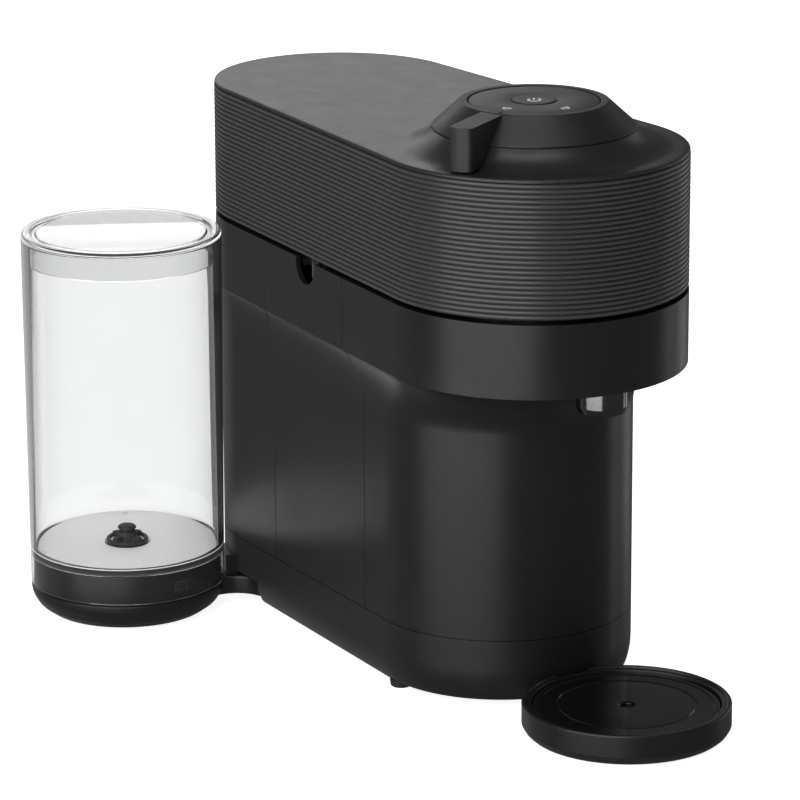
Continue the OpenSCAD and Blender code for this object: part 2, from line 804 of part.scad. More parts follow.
module cup_support() {
    color([0.07, 0.07, 0.07]) place() {
        difference() {
            translate([0, -cup_y, 0]) rotate_extrude() polygon([
                [0, 0.6], [cup_r - 2.6, 0.6], [cup_r - 0.8, 1.8], [cup_r, 4], [cup_r, cup_h - 1],
                [cup_r - 0.9, cup_h], [cup_r - 4.2, cup_h], [cup_r - 4.5, cup_h - 3.6],
                [0, cup_h - 3.6]]);
            slab(-1, 40, 0, -0.4);
        }
        block([-14, -34, 7], [14, 2, 10.6]);
    }
}

module drip_plate() {
    color([0.04, 0.04, 0.04]) place() difference() {
        translate([0, -cup_y, cup_h - 3.5]) cylinder(r = cup_r - 4.9, h = 1.6);
        translate([0, -cup_y, 0]) cylinder(r = 3, h = 40);
        slab(-1, 40, 0, -0.8);
    }
}

base_pan();
front_housing();
rear_housing();
side_panel();
chassis();
top_deck();
brew_tub();
outlet_spout();
holder_bearings();
motor();
drive_belt();
pump();
pump_mounts();
flow_meter();
heater();
control_board();
inlet_hose();
pump_hose();
riser_hose();
hinge_bracket();
hinge_pin();
cord_gland();
feet();
pivot_cap();
housing_screws();
ribbed_sleeve();
top_cover();
head_frame();
brew_head();
head_hose();
knob_disc();
button_board();
button_dome();
head_screws();
lock_lever();
latch_ring();
brew_button();
pierce_plate();
plate_seal();
capsule_holder();
holder_pulley();
motor_pulley();
bin_front();
capsule_bin();
tank_arm();
arm_cover();
dock_ring();
dock_nozzle();
dock_foot();
water_tank();
tank_valve();
valve_seal();
valve_plunger();
tank_lid();
cup_support();
drip_plate();
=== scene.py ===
import json
from math import asin, atan2, cos, hypot, pi, radians, sin, tan

import bmesh
import bpy
from mathutils import Matrix, Vector


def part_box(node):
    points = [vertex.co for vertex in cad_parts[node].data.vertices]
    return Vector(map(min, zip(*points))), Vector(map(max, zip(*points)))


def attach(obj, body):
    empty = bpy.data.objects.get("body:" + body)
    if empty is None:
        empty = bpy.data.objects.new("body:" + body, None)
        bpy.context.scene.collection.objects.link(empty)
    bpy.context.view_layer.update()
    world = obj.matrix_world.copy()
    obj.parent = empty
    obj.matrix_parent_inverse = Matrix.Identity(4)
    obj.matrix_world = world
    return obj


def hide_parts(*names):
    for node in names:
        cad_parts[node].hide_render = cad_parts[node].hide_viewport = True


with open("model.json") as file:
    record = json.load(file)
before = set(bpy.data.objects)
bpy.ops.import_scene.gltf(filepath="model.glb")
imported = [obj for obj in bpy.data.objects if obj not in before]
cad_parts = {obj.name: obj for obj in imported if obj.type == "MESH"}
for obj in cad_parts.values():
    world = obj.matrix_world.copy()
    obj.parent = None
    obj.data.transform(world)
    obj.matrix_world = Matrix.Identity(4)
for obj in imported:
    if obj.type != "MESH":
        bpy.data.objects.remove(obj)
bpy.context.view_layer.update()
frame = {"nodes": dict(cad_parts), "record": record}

MM = 0.001
TURN = 2 * pi
ON_AXIS = 1e-6


# ---- Places, from the frame ----

def middle(node):
    """Centre of a CAD node's box, in millimetres."""
    low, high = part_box(node)
    return (low + high) / 2 / MM


def span_z(node):
    """Lowest and highest z of a CAD node, in millimetres."""
    low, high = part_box(node)
    return low.z / MM, high.z / MM


def half_width(node):
    """Half of a CAD node's width in x, in millimetres."""
    low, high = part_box(node)
    return (high.x - low.x) / 2 / MM


# Shapes are drawn in millimetres about the head's front centre, which is the axis of the capsule holder.
ORIGIN = middle("capsule_holder").xy
SPAN = middle("pivot_cap").y - ORIGIN.y
TANK = middle("water_tank").xy - ORIGIN
SPOUT = middle("outlet_spout").xy - ORIGIN

# The outline has two round ends: in front about the origin, and at the back about BACK.
BACK = (0, SPAN)
HEAD_R = half_width("ribbed_sleeve")
BACK_R = (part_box("ribbed_sleeve")[1].y / MM - ORIGIN.y) - SPAN
COLUMN_R = 58.2             # the same ends below the head
TAIL_R = 54.4
COLUMN_Y = 26.0             # how far the column's front centre is behind the head's
WALL = 2.5

BASE_LOW, SEAM_Z = span_z("base_pan")
BODY_LOW, GAP_Z = span_z("front_housing")
SLEEVE_LOW, SLEEVE_TOP = span_z("ribbed_sleeve")
KNOB_TOP = span_z("lock_lever")[1]
RIM_Z = 242.8               # the flat of the head's cover
COVE_Z = 124.0              # where the column starts to flare out
CHIN_Z = 148.5              # where it has reached the head's width

BAY = (46.2, 128.5)         # front and back seam of the side panels on the column
BAY_TOP = (54.7, 130.7)     # the same on the head
JOG = (129.0, 146.0)        # heights between which the seams shift
SEAM = 0.2                  # half of a seam's gap
NOTCH_Y, NOTCH_R, NOTCH_Z = 90.0, 9.0, 178.8
HINGE_HALF = 33.0           # half width of the opening for the hinge
HINGE_Z = 174.5
SPOUT_HOLE_R = 11.3

RIBS = 27
RIB_DEPTH = 0.42
LEVER_ANGLE = radians(212)
LEVER_OUT, LEVER_HALF = 63.4, 5.3
LEVER_CORNER, LEVER_BULGE = 2.4, 0.5
LEVER_BESIDE = -5.0         # how far the lever's middle line passes beside the axis
KNOB_R = 44.0
KNOB_LIP_R = 28.5
KNOB_FOOT = 250.8
BLEND_R, BLEND_ARC = 60.0, 20.0   # where the cover's flat ends, and the radius of the curve up to the ring
SLOT_TOP = 14.4
SLOT_SWEEP = radians(17)     # how far the arm's slot goes past each side
SLOT_IN_R, SLOT_OUT_R = 51.2, 90.0
CEILING_Y = 108.0           # where the plate over the arm's disc begins

FEET = ((-51, 27), (51, 27), (-30, 104), (30, 104), BACK)
COVER_POSTS = [(x, y) for x in (-38, 38) for y in (52, 120, 172)]

TANK_TAPER = 1.0            # how much smaller in radius the tank is at its foot
TANK_FLOOR_Z = 30.3
VALVE_R = 9.6
DOCK_R = 44.4
DISC_R = 50.4               # the arm's disc under the body
NECK_HALF = 14.0
ARM_LEAN = atan2(TANK.y - SPAN, TANK.x)
BELOW, ABOVE = -5, 40       # heights of a cutter that goes right through the cup support


# ---- Mesh helpers ----

def point(x, y, z):
    """A place in metres, from millimetres about the head's front centre."""
    return Vector(((x + ORIGIN.x) * MM, (y + ORIGIN.y) * MM, z * MM))


def add_object(name, data):
    """A new object in the scene."""
    piece = bpy.data.objects.new(name, data)
    bpy.context.scene.collection.objects.link(piece)
    return piece


def make(name, verts, faces, sharp=40):
    """An object from points in millimetres about the head's front centre."""
    mesh = bpy.data.meshes.new(name)
    mesh.from_pydata([point(*v) for v in verts], [], faces)
    piece = add_object(name, mesh)
    tidy(piece, sharp)
    return piece


def tidy(piece, sharp=40):
    """Faces look outwards and are smooth, apart from edges sharper than the angle."""
    bm = bmesh.new()
    bm.from_mesh(piece.data)
    bmesh.ops.remove_doubles(bm, verts=bm.verts, dist=1e-7)
    bmesh.ops.recalc_face_normals(bm, faces=bm.faces)
    bm.to_mesh(piece.data)
    bm.free()
    piece.data.shade_smooth()
    piece.data.set_sharp_from_angle(angle=radians(sharp))


def rounded(corners, steps=4, closed=True):
    """A polygon's points with its corners rounded. A corner is (x, y) or (x, y, radius)."""
    points = []
    count = len(corners)
    for i, corner in enumerate(corners):
        here = Vector(corner[:2])
        radius = corner[2] if len(corner) > 2 else 0
        if radius <= 0 or (not closed and i in (0, count - 1)):
            points.append(here)
            continue
        a = (Vector(corners[i - 1][:2]) - here).normalized()
        b = (Vector(corners[(i + 1) % count][:2]) - here).normalized()
        half = a.angle(b) / 2
        centre = here + (a + b).normalized() * (radius / sin(half))
        start = here + a * (radius / tan(half)) - centre
        end = here + b * (radius / tan(half)) - centre
        first = atan2(start.y, start.x)
        sweep = (atan2(end.y, end.x) - first + pi) % TURN - pi
        for k in range(steps + 1):
            turn = first + sweep * k / steps
            points.append(centre + radius * Vector((cos(turn), sin(turn))))
    return points


def revolve(name, corners, centre=(0, 0), steps=4, closed=True, segments=96, sharp=40):
    """Turns a profile with corners (r, z) or (r, z, radius) about the vertical through centre."""
    verts, rings, faces = [], [], []
    for r, z in rounded(corners, steps, closed):
        if r < ON_AXIS:
            rings.append([len(verts)] * segments)
            verts.append((centre[0], centre[1], z))
            continue
        rings.append([len(verts) + k for k in range(segments)])
        for k in range(segments):
            turn = TURN * k / segments
            verts.append((centre[0] + r * cos(turn), centre[1] + r * sin(turn), z))
    pairs = list(zip(rings, rings[1:] + rings[:1])) if closed else list(zip(rings, rings[1:]))
    for a, b in pairs:
        for k in range(segments):
            quad = [a[k], a[(k + 1) % segments], b[(k + 1) % segments], b[k]]
            face = list(dict.fromkeys(quad))
            if len(face) > 2:
                faces.append(face)
    return make(name, verts, faces, sharp)


def loft(name, rings, closed=False, sharp=40):
    """Joins rings of equal counts. A closed loft joins its last ring to its first. Others get caps."""
    count = len(rings[0])
    verts = [v for ring in rings for v in ring]
    faces = []
    last = len(rings) if closed else len(rings) - 1
    for i in range(last):
        j = (i + 1) % len(rings)
        for k in range(count):
            m = (k + 1) % count
            faces.append([i * count + k, i * count + m, j * count + m, j * count + k])
    if not closed:
        faces.append(list(range(count)))
        faces.append([(len(rings) - 1) * count + k for k in reversed(range(count))])
    return make(name, verts, faces, sharp)


def panel(name, outer, inner, sharp=40):
    """A thick patch from an outer and an inner grid of points, rows by columns."""
    rows, cols = len(outer), len(outer[0])
    verts = [v for row in outer for v in row] + [v for row in inner for v in row]
    skip = rows * cols
    faces = []
    for i in range(rows - 1):
        for k in range(cols - 1):
            a = i * cols + k
            quad = [a, a + 1, a + 1 + cols, a + cols]
            faces.append(quad)
            faces.append([v + skip for v in reversed(quad)])
    edge = list(range(cols))
    edge += [i * cols + cols - 1 for i in range(1, rows)]
    edge += [(rows - 1) * cols + k for k in reversed(range(cols - 1))]
    edge += [i * cols for i in reversed(range(1, rows - 1))]
    for a, b in zip(edge, edge[1:] + edge[:1]):
        faces.append([a, b, b + skip, a + skip])
    return make(name, verts, faces, sharp)


def prism(name, outline, low, high, sharp=40):
    """An upright prism of a plan outline."""
    return loft(name, [[(x, y, z) for x, y in outline] for z in (low, high)], sharp=sharp)


def apply_modifiers(piece):
    """Turns a piece's modifiers into mesh."""
    bpy.context.view_layer.update()
    graph = bpy.context.evaluated_depsgraph_get()
    shape = bpy.data.meshes.new_from_object(piece.evaluated_get(graph))
    piece.modifiers.clear()
    piece.data = shape


def combine(piece, other, operation="DIFFERENCE", sharp=40):
    """Cuts other from piece, or joins it to piece, and removes other."""
    change = piece.modifiers.new("combine", "BOOLEAN")
    change.operation = operation
    change.solver = "EXACT"
    change.object = other
    apply_modifiers(piece)
    bpy.data.objects.remove(other)
    tidy(piece, sharp)
    return piece


def join(piece, *others):
    """Adds other closed solids to a piece's mesh."""
    bm = bmesh.new()
    for solid in (piece, *others):
        bm.from_mesh(solid.data)
    bm.to_mesh(piece.data)
    bm.free()
    for other in others:
        bpy.data.objects.remove(other)
    piece.data.shade_smooth()
    piece.data.set_sharp_from_angle(angle=radians(40))
    return piece


def soften(piece, width=0.35, segments=2, angle=38):
    """Rounds a piece's sharp edges."""
    bevel = piece.modifiers.new("soft edges", "BEVEL")
    bevel.width = width * MM
    bevel.segments = segments
    bevel.limit_method = "ANGLE"
    bevel.angle_limit = radians(angle)
    bevel.miter_outer = "MITER_ARC"
    piece.modifiers.new("even shading", "WEIGHTED_NORMAL")
    piece.data.shade_smooth()
    for edge in piece.data.edges:
        edge.use_edge_sharp = False
    return piece


def settle(piece, body, slot, *nodes, material=None):
    """Puts a piece on its body, gives it the material of its slot or the one given, and hides the CAD nodes
    it stands for.
    """
    piece.data.materials.clear()
    piece.data.materials.append(MATERIALS[material or slot])
    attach(piece, body)
    if nodes:
        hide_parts(*nodes)
    return piece


# ---- Body outline ----

def ends(share, inset, rear_inset=None):
    """Radii and places of the outline's two round ends. Share 0 is the column and share 1 the head."""
    r1 = COLUMN_R + (HEAD_R - COLUMN_R) * share - inset
    r2 = TAIL_R + (BACK_R - TAIL_R) * share - (inset if rear_inset is None else rear_inset)
    y1 = COLUMN_Y * (1 - share)
    lean = asin((r1 - r2) / (SPAN - y1))
    return r1, y1, r2, lean


def arc(centre, r, start, end, count):
    """Points on a circle about a centre, both ends included."""
    turns = [start + (end - start) * k / count for k in range(count + 1)]
    return [(centre[0] + r * cos(t), centre[1] + r * sin(t)) for t in turns]


def straight(a, b, count):
    """Points between a and b, both ends left out."""
    wide, long = b[0] - a[0], b[1] - a[1]
    return [(a[0] + wide * k / count, a[1] + long * k / count) for k in range(1, count)]


def turned(plan, turn, centre):
    """Plan points turned about the origin and moved to a centre."""
    c, s = cos(turn), sin(turn)
    return [(centre[0] + x * c - y * s, centre[1] + x * s + y * c) for x, y in plan]


def front_arc(share, inset, rear_inset=None, count=72):
    r1, y1, _, lean = ends(share, inset, rear_inset)
    return arc((0, y1), r1, pi - lean, TURN + lean, count)


def back_arc(share, inset, rear_inset=None, count=60):
    _, _, r2, lean = ends(share, inset, rear_inset)
    return arc(BACK, r2, lean, pi - lean, count)


def full_ring(share, inset, z, rear_inset=None):
    """The whole outline at a height."""
    front = front_arc(share, inset, rear_inset)
    back = back_arc(share, inset, rear_inset)
    line = front + straight(front[-1], back[0], 12) + back + straight(back[-1], front[0], 12)
    return [(x, y, z) for x, y in line]


def outline_cutter(gap, low, high):
    """A cutter as wide as the column's outline and a gap around it."""
    return prism("cutter", [p[:2] for p in full_ring(0, -gap, 0)], low, high)


def side_x(share, inset, y):
    """Half width of the outline at y, on its straight side."""
    r1, y1, r2, lean = ends(share, inset)
    ax, ay = r1 * cos(lean), y1 + r1 * sin(lean)
    bx, by = r2 * cos(lean), SPAN + r2 * sin(lean)
    return ax + (bx - ax) * (y - ay) / (by - ay)


def seam_y(which, z):
    """Where a side seam lies at a height: which 0 is the front seam and 1 the back one."""
    t = min(max((z - JOG[0]) / (JOG[1] - JOG[0]), 0), 1)
    t = t * t * (3 - 2 * t)
    return BAY[which] + (BAY_TOP[which] - BAY[which]) * t


def housing_rows():
    """Rows (z, share, lift of the inner face) from the base seam to the head's gap."""
    low = BODY_LOW
    rows = [(low + (COVE_Z - low) * k / 8, 0.0, 0.0) for k in range(8)]
    for k in range(19):
        turn = radians(5 * k)
        rows.append((COVE_Z + (CHIN_Z - COVE_Z) * sin(turn), 1 - cos(turn), 2.0))
    rows += [(CHIN_Z + (GAP_Z - CHIN_Z) * k / 5, 1.0, 2.0 if k < 5 else 0.0) for k in range(1, 6)]
    return rows


def housing_patch(name, line):
    """A housing panel: line(z, share, inset) gives one row of points."""
    outer = [line(z, share, 0) for z, share, _ in housing_rows()]
    inner = []
    for z, share, lift in housing_rows():
        row = line(z, share, WALL)
        inner.append([(x, y, z + lift) for x, y, _ in row])
    return panel(name, outer, inner)


# ---- Materials ----

def nodes_of(name):
    """A new material, its node tree and its main shader."""
    material = bpy.data.materials.new(name)
    material.use_nodes = True
    tree = material.node_tree
    return material, tree, tree.nodes["Principled BSDF"]


def add_noise(tree, scale, detail=4.0, roughness=0.55, stretch=None):
    """A noise in the row frame, in cycles per metre."""
    place = tree.nodes.new("ShaderNodeTexCoord")
    noise = tree.nodes.new("ShaderNodeTexNoise")
    noise.inputs["Scale"].default_value = scale
    noise.inputs["Detail"].default_value = detail
    noise.inputs["Roughness"].default_value = roughness
    where = place.outputs["Object"]
    if stretch:
        mapping = tree.nodes.new("ShaderNodeMapping")
        mapping.inputs["Scale"].default_value = stretch
        tree.links.new(where, mapping.inputs["Vector"])
        where = mapping.outputs["Vector"]
    tree.links.new(where, noise.inputs["Vector"])
    return noise.outputs["Fac"]


def add_range(tree, source, low, high, start=0.3, end=0.7):
    """Spreads a value from start..end to low..high."""
    spread = tree.nodes.new("ShaderNodeMapRange")
    for name, limit in (("From Min", start), ("From Max", end), ("To Min", low), ("To Max", high)):
        spread.inputs[name].default_value = limit
    tree.links.new(source, spread.inputs["Value"])
    return spread.outputs["Result"]


def add_tint(tree, source, dark, light):
    """A colour between dark and light, by a noise."""
    ramp = tree.nodes.new("ShaderNodeValToRGB")
    ramp.color_ramp.elements[0].position = 0.3
    ramp.color_ramp.elements[0].color = (*dark, 1)
    ramp.color_ramp.elements[1].position = 0.7
    ramp.color_ramp.elements[1].color = (*light, 1)
    tree.links.new(source, ramp.inputs["Fac"])
    return ramp.outputs["Color"]


def add_bump(tree, noise, strength, depth):
    """Roughens the surface by a noise. The depth is in millimetres."""
    bump = tree.nodes.new("ShaderNodeBump")
    bump.inputs["Strength"].default_value = strength
    bump.inputs["Distance"].default_value = depth * MM
    tree.links.new(noise, bump.inputs["Height"])
    tree.links.new(bump.outputs["Normal"], tree.nodes["Principled BSDF"].inputs["Normal"])


def shade(colour, factor):
    """A colour made darker or lighter."""
    return tuple(min(c * factor, 1.0) for c in colour)


def moulded(name, colour, roughness=0.5, grain=2600, depth=0.010, spread=0.06, variation=0.12, coat=0.0):
    """Moulded plastic or rubber: a fine grain, uneven gloss and edges worn a little lighter."""
    material, tree, shader = nodes_of(name)
    cloud = add_noise(tree, 34, 5, 0.6)
    tint = add_tint(tree, cloud, shade(colour, 1 - variation), shade(colour, 1 + variation))
    wear = tree.nodes.new("ShaderNodeNewGeometry")
    edge = add_range(tree, wear.outputs["Pointiness"], 0.0, 0.35, 0.53, 0.62)
    mix = tree.nodes.new("ShaderNodeMix")
    mix.data_type = "RGBA"
    mix.inputs["B"].default_value = (*shade(colour, 1.9), 1)
    tree.links.new(edge, mix.inputs["Factor"])
    tree.links.new(tint, mix.inputs["A"])
    tree.links.new(mix.outputs["Result"], shader.inputs["Base Color"])
    gloss = add_noise(tree, 90, 4, 0.6)
    rough = add_range(tree, gloss, roughness - spread, roughness + spread)
    tree.links.new(rough, shader.inputs["Roughness"])
    add_bump(tree, add_noise(tree, grain, 3, 0.5), 0.6, depth)
    if coat:
        shader.inputs["Coat Weight"].default_value = coat
        shader.inputs["Coat Roughness"].default_value = 0.08
    return material


def ribbed(name, ridge, groove, roughness=0.28):
    """The ribbed skin's plastic: satin ridges, and grooves with painted shade, darker in colour and duller.
    """
    material = moulded(name, ridge, roughness, depth=0.004, spread=0.02, variation=0.05)
    tree = material.node_tree
    shader = tree.nodes["Principled BSDF"]
    ridge_tint = shader.inputs["Base Color"].links[0].from_socket
    ridge_gloss = shader.inputs["Roughness"].links[0].from_socket
    place = tree.nodes.new("ShaderNodeTexCoord")
    height = tree.nodes.new("ShaderNodeSeparateXYZ")
    tree.links.new(place.outputs["Object"], height.inputs["Vector"])
    turns = add_range(tree, height.outputs["Z"], 0.0, TURN * RIBS, SLEEVE_LOW * MM, SLEEVE_TOP * MM)
    wave = tree.nodes.new("ShaderNodeMath")
    wave.operation = "COSINE"
    tree.links.new(turns, wave.inputs[0])
    depth = add_range(tree, wave.outputs["Value"], 0.0, 1.0, -0.5, 0.8)
    # Painted shade: in each groove the base colour turns to the dark groove colour, for the shade that falls
    # there.
    tint = tree.nodes.new("ShaderNodeMix")
    tint.data_type = "RGBA"
    tint.inputs["B"].default_value = (*groove, 1)
    gloss = tree.nodes.new("ShaderNodeMix")
    gloss.inputs["B"].default_value = 0.6
    for mix, socket in ((tint, ridge_tint), (gloss, ridge_gloss)):
        tree.links.new(depth, mix.inputs["Factor"])
        tree.links.new(socket, mix.inputs["A"])
    tree.links.new(tint.outputs["Result"], shader.inputs["Base Color"])
    tree.links.new(gloss.outputs["Result"], shader.inputs["Roughness"])
    return material


def metal(name, colour, roughness=0.28, stretch=(1, 1, 40), scale=700, depth=0.004):
    """Brushed or cast metal: fine streaks along the turning direction, with faint stains."""
    material, tree, shader = nodes_of(name)
    shader.inputs["Metallic"].default_value = 1.0
    cloud = add_noise(tree, 60, 5, 0.6)
    tint = add_tint(tree, cloud, shade(colour, 0.86), shade(colour, 1.08))
    tree.links.new(tint, shader.inputs["Base Color"])
    streak = add_noise(tree, scale, 3, 0.6, stretch)
    rough = add_range(tree, streak, roughness - 0.07, roughness + 0.1)
    tree.links.new(rough, shader.inputs["Roughness"])
    add_bump(tree, streak, 0.5, depth)
    return material


def clear(name, colour, roughness=0.02, clarity=1.0):
    """Clear moulded plastic with a faint flow ripple and the odd dull patch."""
    material, tree, shader = nodes_of(name)
    shader.inputs["Transmission Weight"].default_value = clarity
    shader.inputs["IOR"].default_value = 1.46
    cloud = add_noise(tree, 26, 3, 0.5)
    tint = add_tint(tree, cloud, shade(colour, 0.985), colour)
    tree.links.new(tint, shader.inputs["Base Color"])
    rough = add_range(tree, cloud, roughness * 0.4, roughness * 1.6)
    tree.links.new(rough, shader.inputs["Roughness"])
    add_bump(tree, add_noise(tree, 16, 2, 0.4, (1, 1, 0.25)), 0.25, 0.15)
    return material


MATERIALS = {
    "shell": moulded("matt shell plastic", (0.0078, 0.0078, 0.0081), 0.31, spread=0.03,
                     variation=0.08),
    # The second colour is painted shade for the sleeve's grooves.
    "ribbed": ribbed("ribbed skin plastic", (0.036, 0.036, 0.0365), (0.004, 0.004, 0.004), 0.24),
    "top": moulded("satin cover plastic", (0.016, 0.016, 0.0165), 0.34, grain=2200, depth=0.006,
                   spread=0.02, variation=0.06),
    "knob": moulded("knob plastic", (0.012, 0.012, 0.0125), 0.43, depth=0.006, spread=0.03),
    "disc": moulded("disc plastic", (0.022, 0.022, 0.0225), 0.43, depth=0.006, spread=0.02,
                    variation=0.06),
    "gloss": moulded("glossy black plastic", (0.004, 0.004, 0.0045), 0.16, grain=900, depth=0.0015,
                     spread=0.03, coat=0.5),
    "inner": moulded("inner plastic", (0.03, 0.03, 0.033), 0.5, grain=1500, depth=0.012),
    "rubber": moulded("matt rubber", (0.01, 0.01, 0.01), 0.75, grain=1900, depth=0.014),
    "seal": moulded("silicone seal", (0.26, 0.05, 0.03), 0.45, grain=1300),
    "hose": moulded("silicone hose", (0.66, 0.67, 0.69), 0.38, grain=1100, variation=0.05),
    "white_plastic": moulded("white plastic", (0.70, 0.69, 0.64), 0.42, grain=1600, variation=0.05),
    "board": moulded("lacquered board", (0.012, 0.10, 0.035), 0.25, grain=700, depth=0.01, coat=0.4),
    "steel": metal("brushed steel", (0.60, 0.61, 0.63)),
    "aluminium": metal("cast aluminium", (0.56, 0.57, 0.58), 0.42, (1, 1, 1), 900, 0.02),
    "dark_chrome": metal("dark chrome", (0.22, 0.22, 0.23), 0.12, (1, 1, 6), 400, 0.001),
    "clear": clear("clear tank plastic", (0.84, 0.845, 0.845)),
    # Painted light: a white sheet on the tank's floor, standing in for brightness seen through the clear
    # tank.
    "painted_light_frost": clear("frosted tank floor", (0.95, 0.95, 0.95), 0.5, 0.1),
    "print": moulded("white print", (0.86, 0.86, 0.86), 0.5, grain=1500, depth=0.004, variation=0.06),
}


# ---- Fixed body ----

def end_line(which):
    """The front (0) or the back (1), from one seam round to the other."""
    side = (-1, 1)[which]

    def line(z, share, inset):
        y = seam_y(which, z) + side * SEAM
        x = side * side_x(share, inset, y)
        curve = (front_arc, back_arc)[which](share, inset)
        first = [(x, y)] + straight((x, y), curve[0], 6)
        last = straight(curve[-1], (-x, y), 6) + [(-x, y)]
        return [(*p, z) for p in first + curve + last]
    return line


def side_line(side):
    """The panel between the seams, on side -1 or 1."""
    def line(z, share, inset):
        first, last = seam_y(0, z) + SEAM, seam_y(1, z) - SEAM
        places = [first + (last - first) * k / 24 for k in range(25)]
        return [(side * side_x(share, inset, y), y, z) for y in places]
    return line


def cylinder_cutter(centre, radius, low, high, segments=64):
    return prism("cutter", arc(centre, radius, 0, TURN, segments)[:-1], low, high)


def box_cutter(low, high):
    corners = [(low[0], low[1]), (high[0], low[1]), (high[0], high[1]), (low[0], high[1])]
    return prism("cutter", corners, low[2], high[2])


def notch_cutter(side):
    """A finger notch through a side panel: a round bottom with straight sides."""
    outline = arc((NOTCH_Y, NOTCH_Z), NOTCH_R, pi, TURN, 24)
    outline += [(NOTCH_Y + NOTCH_R, NOTCH_Z + 6), (NOTCH_Y - NOTCH_R, NOTCH_Z + 6)]
    return loft("cutter", [[(side * x, y, z) for y, z in outline] for x in (45, 75)])


def shell(name, line, cutter, edge, body, node):
    """A housing panel with an opening and softened edges."""
    piece = combine(housing_patch(name, line), cutter)
    return settle(soften(piece, edge), body, "shell", node)


def front_shell():
    """The column, the chin and the head's lower front, with the spout's hole."""
    hole = cylinder_cutter(SPOUT, SPOUT_HOLE_R, 120, 160)
    return shell("front_shell", end_line(0), hole, 0.4, "frame", "front_housing")


def rear_shell():
    """The back, open at the top for the hinge."""
    opening = box_cutter((-HINGE_HALF, 200, HINGE_Z), (HINGE_HALF, 230, 190))
    return shell("rear_shell", end_line(1), opening, 0.4, "frame", "rear_housing")


def side_shell():
    return shell("side_shell", side_line(1), notch_cutter(1), 0.3, "frame", "side_panel")


def bin_shell():
    return shell("bin_shell", side_line(-1), notch_cutter(-1), 0.3, "bin", "bin_front")


def arm_slot_cutter():
    """The slot round the back of the base, in which the arm swings."""
    outside = arc(BACK, SLOT_OUT_R, -SLOT_SWEEP, pi + SLOT_SWEEP, 48)
    inside = arc(BACK, SLOT_IN_R, pi + SLOT_SWEEP, TURN - SLOT_SWEEP, 48)
    return prism("cutter", outside + inside, -5, SLOT_TOP)


def base_shell():
    """The base: upright below the seam and curving inwards to its flat underside."""
    fall, steps = 14.5, 9
    flange = WALL + 2.2
    rings = [full_ring(0, 3.1, BASE_LOW, 4.9), full_ring(0, 2.5, BASE_LOW + 0.35, 4.3)]
    for k in range(1, steps + 1):
        t = 1 - k / steps
        rings.append(full_ring(0, 2.4 * t ** 2.4, BASE_LOW + fall * (1 - t), 4.2 * t ** 2.4))
    rings += [full_ring(0, 0, SEAM_Z), full_ring(0, WALL, SEAM_Z), full_ring(0, WALL, 15)]
    rings += [full_ring(0, flange, 15), full_ring(0, flange, 6)]
    piece = loft("base_shell", rings)
    combine(piece, arm_slot_cutter())
    combine(piece, box_cutter((-15, -40, 6.6), (15, 6, 11.4)))     # the cup support's socket
    soften(piece, 0.3)
    return settle(piece, "frame", "shell", "base_pan")


def pivot_hub():
    """The tube on which the arm turns."""
    profile = [(3, 4.6, 0.3), (8, 4.6, 0.5), (8, 15.5), (3, 15.5)]
    return settle(revolve("pivot_hub", profile, BACK), "frame", "shell")


def slot_ceiling():
    """The plate over the arm's disc."""
    outline = [p[:2] for p in full_ring(0, 2.3, 0) if p[1] > CEILING_Y]
    outline.sort(key=lambda p: atan2(p[1] - CEILING_Y - 0.5, p[0]))
    piece = prism("slot_ceiling", outline, SLOT_TOP, SLOT_TOP + 2.2)
    soften(piece, 0.3)
    return settle(piece, "frame", "shell", material="inner")


def rubber_feet():
    """The feet. The one under the arm's hub is lower."""
    low, high = span_z("feet")
    parts = []
    for x, y in FEET:
        top = high if y < SPAN else 2.2
        profile = [(0, low), (4.6, low, 0.9), (5.0, top, 0.2), (0, top)]
        parts.append(revolve("rubber_feet", profile, (x, y), closed=False, segments=48))
    return settle(join(*parts), "frame", "rubber", "feet")


def coffee_spout():
    low, high = span_z("outlet_spout")
    bore, r = 8.6, 11
    profile = [(bore, low, 0.5), (r - 0.8, low, 0.8), (r, low + 3, 1.5), (r, high), (bore, high)]
    piece = revolve("coffee_spout", profile, SPOUT, 6)
    return settle(piece, "frame", "dark_chrome", "outlet_spout")


# ---- Head ----

def ribbed_skin():
    """The head's sleeve: rounded ribs with narrow grooves."""
    steps = 8
    height = SLEEVE_TOP - SLEEVE_LOW
    rings = []
    for k in range(RIBS * steps + 1):
        t = k / steps
        groove = abs(cos(pi * t)) ** 2.2
        rings.append(full_ring(1, 0.02 + RIB_DEPTH * groove, SLEEVE_LOW + height * t / RIBS))
    rings += [full_ring(1, 2.4, SLEEVE_TOP), full_ring(1, 2.4, SLEEVE_LOW)]
    piece = loft("ribbed_skin", rings, closed=True, sharp=60)
    return settle(piece, "head", "ribbed", "ribbed_sleeve")


def circle_like(ring, radius, z):
    """Points on a circle about the head's front centre, in the same directions as a ring's points."""
    return [(radius * x / hypot(x, y), radius * y / hypot(x, y), z) for x, y, _ in ring]


